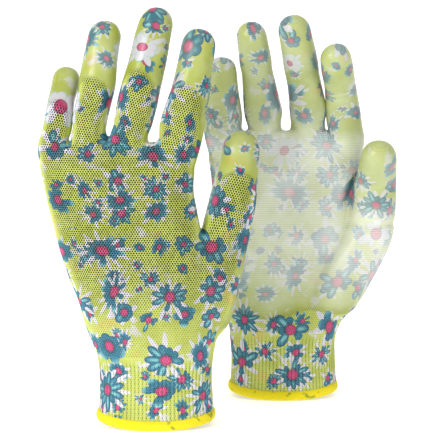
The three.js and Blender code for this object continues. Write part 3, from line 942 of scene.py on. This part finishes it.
def flower_group():
    """A node group that scatters daisies over a plane: one to a cell, at random sizes and turns."""
    tree = bpy.data.node_groups.new("daisies", "ShaderNodeTree")
    sockets = [("Point", "INPUT", "Vector")]
    sockets += [(name, "INPUT", "Float") for name in ("Cell", "Seed", "Chance", "Smallest", "Largest")]
    sockets += [("Colour", "OUTPUT", "Color"), ("Mask", "OUTPUT", "Float")]
    for name, way, kind in sockets:
        tree.interface.new_socket(name, in_out=way, socket_type=f"NodeSocket{kind}")
    n = Nodes(tree)
    given = n.add("NodeGroupInput").outputs
    point, cell, seed, chance, smallest, largest = (given[i] for i in range(6))
    p = n.scaled(point, n.over(1.0, cell))
    p = n.vector("ADD", p, n.join(seed, n.times(seed, 0.37)))
    cells = n.add("ShaderNodeTexVoronoi", voronoi_dimensions="2D", feature="F1")
    n.feed(cells.inputs["Vector"], p)
    settle(cells, {"Scale": 1.0, "Randomness": 0.4})
    centre = cells.outputs["Position"]
    dice = n.random(centre)
    dice_b = n.random(n.vector("ADD", centre, (7.3, 2.1, 5.5)))
    away = n.split(n.scaled(n.vector("SUBTRACT", p, centre), cell))
    turn = n.times(dice[0], TURN)
    cos, sin = n.math("COSINE", turn), n.math("SINE", turn)
    x = n.minus(n.times(away[0], cos), n.times(away[1], sin))
    y = n.plus(n.times(away[0], sin), n.times(away[1], cos))
    y = n.over(y, n.step(dice_b[2], 0.0, 1.0, 0.68, 1.0))
    size = n.plus(smallest, n.times(dice[1], n.minus(largest, smallest)))
    count = n.math("FLOOR", n.plus(6.0, n.times(dice[2], 8.9)))
    radius = n.math("SQRT", n.plus(n.times(x, x), n.times(y, y)))
    angle = n.plus(n.math("ARCTAN2", y, x), math.pi)

    def petals(shift, length_low, length_high, width, salt):
        """How deep in a petal a point is, the petal's dice, and the place in it."""
        turned = n.plus(n.over(n.times(angle, count), TURN), shift)
        turned = n.math("MODULO", turned, count)
        number = n.math("FLOOR", turned)
        own = n.random(n.vector("ADD", centre, n.join(number, salt, 0.0)))
        slant = n.minus(n.minus(turned, number), 0.5)
        slant = n.plus(slant, n.times(n.minus(own[1], 0.5), 0.22))
        slant = n.over(n.times(slant, TURN), count)
        along = n.times(radius, n.math("COSINE", slant))
        beside = n.times(radius, n.math("SINE", slant))
        length = n.times(size, n.step(own[0], 0.0, 1.0, length_low, length_high))
        middle = n.times(length, 0.6)
        long = n.over(n.minus(along, middle), n.times(length, 0.42))
        broad = n.over(n.times(size, width), n.over(count, 9.0))
        wide = n.over(beside, broad)
        edge = n.plus(n.times(long, long), n.times(wide, wide))
        inside = n.minus(1.0, n.math("SQRT", edge))
        return inside, own, wide, long

    teal_in, teal_own, wide, long = petals(0.0, 0.7, 1.12, 0.25, 3.0)
    pale_in = petals(0.5, 0.9, 1.5, 0.15, 9.0)[0]
    kept = n.math("GREATER_THAN", teal_own[2], 0.14)
    teal = n.times(n.step(teal_in, 0.0, 0.08), kept)
    pale = n.times(n.step(pale_in, 0.0, 0.15), n.math("GREATER_THAN", dice_b[0], 0.3))
    streak = n.step(n.math("ABSOLUTE", wide), 0.5, 0.1)
    streak = n.times(streak, n.step(long, 0.8, -0.1))
    tipped = n.step(long, 0.1, 0.9)
    light = n.mix(n.math("GREATER_THAN", dice_b[2], 0.45), tipped, streak)
    light = n.times(light, n.step(teal_own[0], 0.2, 0.85))
    body = n.mix(n.step(teal_in, 0.05, 0.3), TEAL_DARK, TEAL)
    body = n.mix(light, body, SKY)
    white_kind = n.math("GREATER_THAN", dice_b[1], 0.97)
    white_body = n.mix(n.step(teal_in, 0.0, 0.3), SKY, WHITE)
    body = n.mix(white_kind, body, white_body)
    heart = n.times(size, n.step(dice_b[1], 0.0, 1.0, 0.25, 0.33))
    heart_in = n.minus(1.0, n.over(radius, heart))
    heart_mask = n.step(heart_in, -0.03, 0.08)
    shade = n.mix(n.step(heart_in, 0.0, 0.45), PINK_DARK, PINK)
    colour = n.mix(teal, WHITE, body)
    collar = n.step(n.over(radius, heart), 1.6, 1.1)
    collar = n.times(collar, n.minus(0.85, white_kind))
    colour = n.mix(collar, colour, TEAL_DARK)
    colour = n.mix(heart_mask, colour, shade)
    mask = n.math("MAXIMUM", n.math("MAXIMUM", teal, pale), heart_mask)
    shown = n.math("LESS_THAN", n.random(n.vector("ADD", centre, (1.7, 8.8, 3.1)))[0], chance)
    mask = n.times(mask, shown)
    out = n.add("NodeGroupOutput")
    n.feed(out.inputs[0], colour)
    n.feed(out.inputs[1], mask)
    return tree


def printed(n, flowers):
    """The place on the chart, in millimetres, and the print's colour there."""
    point = n.scaled(n.add("ShaderNodeUVMap", uv_map="chart").outputs[0], CHART_UNIT)
    blot = n.noise(point, 0.085, 2.5, 0.55)
    tint = n.noise(n.vector("ADD", point, (31.0, 7.0, 0.0)), 0.055, 2.0)
    fine = n.noise(point, 0.6, 2.0)
    colour = n.mix(n.step(tint, 0.42, 0.62), LIME, LIME_DEEP)
    colour = n.mix(n.times(n.step(tint, 0.40, 0.30), 0.75), colour, MUSTARD)
    patch = n.step(n.plus(blot, n.times(fine, 0.16)), 0.68, 0.76)
    colour = n.mix(n.times(patch, 0.7), colour, WHITE)
    for layer in DAISIES:
        group = n.add("ShaderNodeGroup", node_tree=flowers)
        n.fed(group, point, *layer)
        colour = n.mix(group.outputs["Mask"], colour, group.outputs["Colour"])
    return point, colour


def knit_pattern(n, point, pitch_x, pitch_y):
    """Stitches at a point of the chart: how much painted shade the hole gets, and how high the yarn stands.
    """
    x, y, _ = n.split(point)
    row = n.over(y, pitch_y)
    number = n.math("FLOOR", row)
    stagger = n.times(n.math("MODULO", n.math("ABSOLUTE", number), 2.0), 0.5)
    column = n.plus(n.over(x, pitch_x), stagger)
    own = n.random(n.join(n.math("FLOOR", column), number, 2.0))
    cx = n.minus(n.math("FRACT", column), 0.5)
    cy = n.minus(n.math("FRACT", row), 0.5)
    sides, ends = n.math("POWER", n.over(cx, 0.72), 2.0), n.math("POWER", n.over(cy, 0.95), 2.0)
    away = n.math("SQRT", n.plus(sides, ends))
    hole = n.step(away, n.step(own[0], 0.0, 1.0, 0.52, 0.68), 0.38)
    legs = n.math("ABSOLUTE", n.math("SINE", n.times(column, TURN)))
    loops = n.times(n.math("COSINE", n.times(cy, TURN)), 0.5)
    height = n.plus(n.times(legs, 0.5), n.plus(loops, 0.5))
    return hole, height


def attribute(n, name):
    node = n.add("ShaderNodeAttribute", attribute_name=name, attribute_type="GEOMETRY")
    return node.outputs["Fac"]


def settle(node, settings):
    """Sets a node's constant inputs."""
    for name, value in settings.items():
        node.inputs[name].default_value = value


def cover(n, shader, colour, height, strength, distance):
    """Gives a shader its colour, and bumps from a height pattern over some millimetres."""
    n.feed(shader.inputs["Base Color"], colour)
    bump = n.add("ShaderNodeBump")
    settle(bump, {"Strength": strength, "Distance": distance * MM})
    n.feed(bump.inputs["Height"], height)
    n.feed(shader.inputs["Normal"], bump.outputs[0])


def new_material(name):
    material = bpy.data.materials.new(name)
    material.use_nodes = True
    tree = material.node_tree
    return material, Nodes(tree), tree.nodes["Principled BSDF"]


def knit_material(name, flowers, rib=False):
    """Printed polyester knit: painted shade in the holes between the stitches, matt yarn."""
    material, n, shader = new_material(name)
    point, colour = printed(n, flowers)
    pitch = (RIB_PITCH / 2, KNIT_PITCH[1]) if rib else KNIT_PITCH
    hole, height = knit_pattern(n, point, *pitch)
    yarn = n.noise(point, 1.9, 3.0)
    colour = n.mix(n.step(yarn, 0.38, 0.7, 0.0, 0.24), colour, WHITE)
    strength = attribute(n, "open")
    if rib:
        # painted shade in the rib's grooves: their holes show more and they are darkened
        groove = attribute(n, "groove")
        strength = n.plus(0.1, n.times(groove, 0.65))
        colour = n.mix(n.times(groove, 0.05), colour, HOLE_SHADE)
    coat = attribute(n, "coat")
    bare = n.step(coat, 0.08, -0.02)
    # painted shade in the knit's holes, left off where the coating covers them
    shaded_holes = n.times(n.times(hole, strength), bare)
    colour = n.mix(n.times(shaded_holes, 0.97), colour, HOLE_SHADE)
    settle(shader, {"Roughness": 0.88, "Specular IOR Level": 0.2})
    settle(shader, {"Sheen Weight": 0.04, "Sheen Roughness": 0.5})
    cover(n, shader, colour, n.minus(height, n.times(shaded_holes, 1.2)), 0.55, 0.22)
    return material


def film_material(flowers):
    """The dipped coating: the print and the knit's courses show through a pale satin skin."""
    material, n, shader = new_material("coating_film")
    point, colour = printed(n, flowers)
    _, y, _ = n.split(point)
    course = n.math("SINE", n.times(y, TURN / COURSE_PITCH))
    cloud = n.noise(point, 0.05, 3.0)
    coat = attribute(n, "coat")
    milk = attribute(n, "milk")
    thick = n.plus(0.08, n.times(milk, 0.46))
    thick = n.times(thick, n.step(coat, 0.0, 0.8, 0.1, 1.0))
    veil = n.plus(thick, n.step(cloud, 0.3, 0.7, -0.1, 0.1))
    veil = n.plus(veil, n.times(course, n.times(milk, 0.12)))
    colour = n.mix(n.step(coat, -0.05, 0.12), colour, n.mix(1.0, colour, WET, "MULTIPLY"))
    # the veil: real milky coating, lightened further by painted light where it is thick
    colour = n.mix(veil, colour, n.mix(n.step(milk, 0.3, 1.0), VEIL_THIN, VEIL_THICK_AND_PAINTED_LIGHT))
    # painted shade in the knit's holes, fading out as the coating thickens
    hole, _ = knit_pattern(n, point, *KNIT_PITCH)
    faint = n.times(attribute(n, "open"), n.step(coat, 0.45, 0.0, 0.0, 0.9))
    colour = n.mix(n.times(hole, faint), colour, HOLE_SHADE)
    n.feed(shader.inputs["Roughness"], n.step(coat, 0.0, 0.4, 0.7, 0.38))
    settle(shader, {"Specular IOR Level": 0.5, "Coat Weight": 0.1, "Coat Roughness": 0.32})
    grain = n.noise(point, 1.2, 3.0)
    cover(n, shader, colour, n.plus(n.times(course, 0.35), grain), 0.3, 0.12)
    return material


def yarn_material(name, colour, shadow, rough):
    """Twisted yarn: fibres run along it, and painted shade darkens it between the strands."""
    material, n, shader = new_material(name)
    point = n.scaled(n.add("ShaderNodeTexCoord").outputs["Object"], 1 / MM)
    fibre = n.noise(n.vector("MULTIPLY", point, (1.0, 1.0, 3.5)), 2.2, 4.0, 0.7)
    patch = n.noise(point, 0.16, 2.0)
    # painted shade: the shadow colour where the fibre noise is low
    tone = n.mix(n.step(fibre, 0.3, 0.7), shadow, colour)
    tone = n.mix(n.step(patch, 0.6, 0.68, 0.0, 0.7), tone, STRAY_GREEN)
    settle(shader, {"Roughness": rough, "Sheen Weight": 0.15})
    cover(n, shader, tone, fibre, 0.6, 0.1)
    return material


def make_materials():
    flowers = flower_group()
    return {
        "knit": knit_material("printed_knit", flowers),
        "rib": knit_material("printed_rib", flowers, rib=True),
        "film": film_material(flowers),
        "hem": yarn_material("hem_yarn", HEM_YELLOW, HEM_SHADOW, 0.8),
        "elastic": yarn_material("elastic_yarn", ELASTIC_WHITE, ELASTIC_SHADOW, 0.75),
    }


# ---- Stage, in metres ----

BACKDROP = (4.0, 1.2, 0.6, 2.2, 3.0)  # how far in front, how deep, bend, height, half width
LIT_POINT = (0, 0, 0.12)
# Each lamp's name, place, size and power.
LAMPS = [
    ("key", (-1.1, -1.3, 0.75), 0.55, 18.5),
    ("fill", (0.9, -1.3, 0.4), 1.1, 3.2),
    ("top", (0.0, -0.2, 1.5), 1.0, 3.5),
]
CAMERA = {"away": 1.0, "height": 0.212, "pitch": 5.4, "lens": 144.8, "aside": 0.0367}


def make_stage():
    """A pale floor that runs up into a backdrop, and soft lights."""
    material, _, shader = new_material("studio_white")
    settle(shader, {"Base Color": (0.93, 0.93, 0.93, 1), "Roughness": 0.9})
    settle(shader, {"Emission Color": (1, 1, 1, 1), "Emission Strength": 0.5})
    front, depth, bend, height, half = BACKDROP
    profile = [(-front, 0.0), (depth, 0.0)]
    for angle in np.arange(1, 13) / 12 * math.pi / 2:
        profile.append((depth + bend * math.sin(angle), bend * (1 - math.cos(angle))))
    profile.append((depth + bend, height))
    co = [(x, y, z) for y, z in profile for x in (-half, half)]
    faces = [(2 * i, 2 * i + 1, 2 * i + 3, 2 * i + 2) for i in range(len(profile) - 1)]
    mesh = bpy.data.meshes.new("backdrop")
    mesh.from_pydata(co, [], faces)
    mesh.shade_smooth()
    mesh.materials.append(material)
    put_in_scene("backdrop", mesh)
    world = bpy.data.worlds.new("studio")
    bpy.context.scene.world = world
    world.use_nodes = True
    settle(world.node_tree.nodes["Background"], {"Color": (1, 1, 1, 1), "Strength": 0.45})
    for name, at, size, power in LAMPS:
        light = bpy.data.lights.new(name, "AREA")
        light.size, light.energy = size, power
        lamp = put_in_scene(name, light)
        lamp.location = at
        ahead = Vector(LIT_POINT) - Vector(at)
        lamp.rotation_euler = ahead.to_track_quat("-Z", "Y").to_euler()


def make_camera():
    """In front of the left glove, a little above it."""
    camera = bpy.data.cameras.new("camera")
    camera.lens = CAMERA["lens"]
    camera.sensor_width = 36
    camera.clip_end = 20
    stand = put_in_scene("camera", camera)
    wrist = JOINTS["left_wrist"]["pos_m"]
    stand.location = (wrist[0] + CAMERA["aside"], wrist[1] - CAMERA["away"], CAMERA["height"])
    stand.rotation_euler = (math.radians(90 - CAMERA["pitch"]), 0, 0)
    bpy.context.scene.camera = stand
    bpy.context.scene.view_settings.view_transform = "Standard"


def main():
    make_camera()
    make_stage()
    materials = make_materials()
    for side in HANDS:
        hand = Hand(side)
        for make in (make_hand, make_cuff, make_hem, make_elastic):
            make(hand, materials)


main()
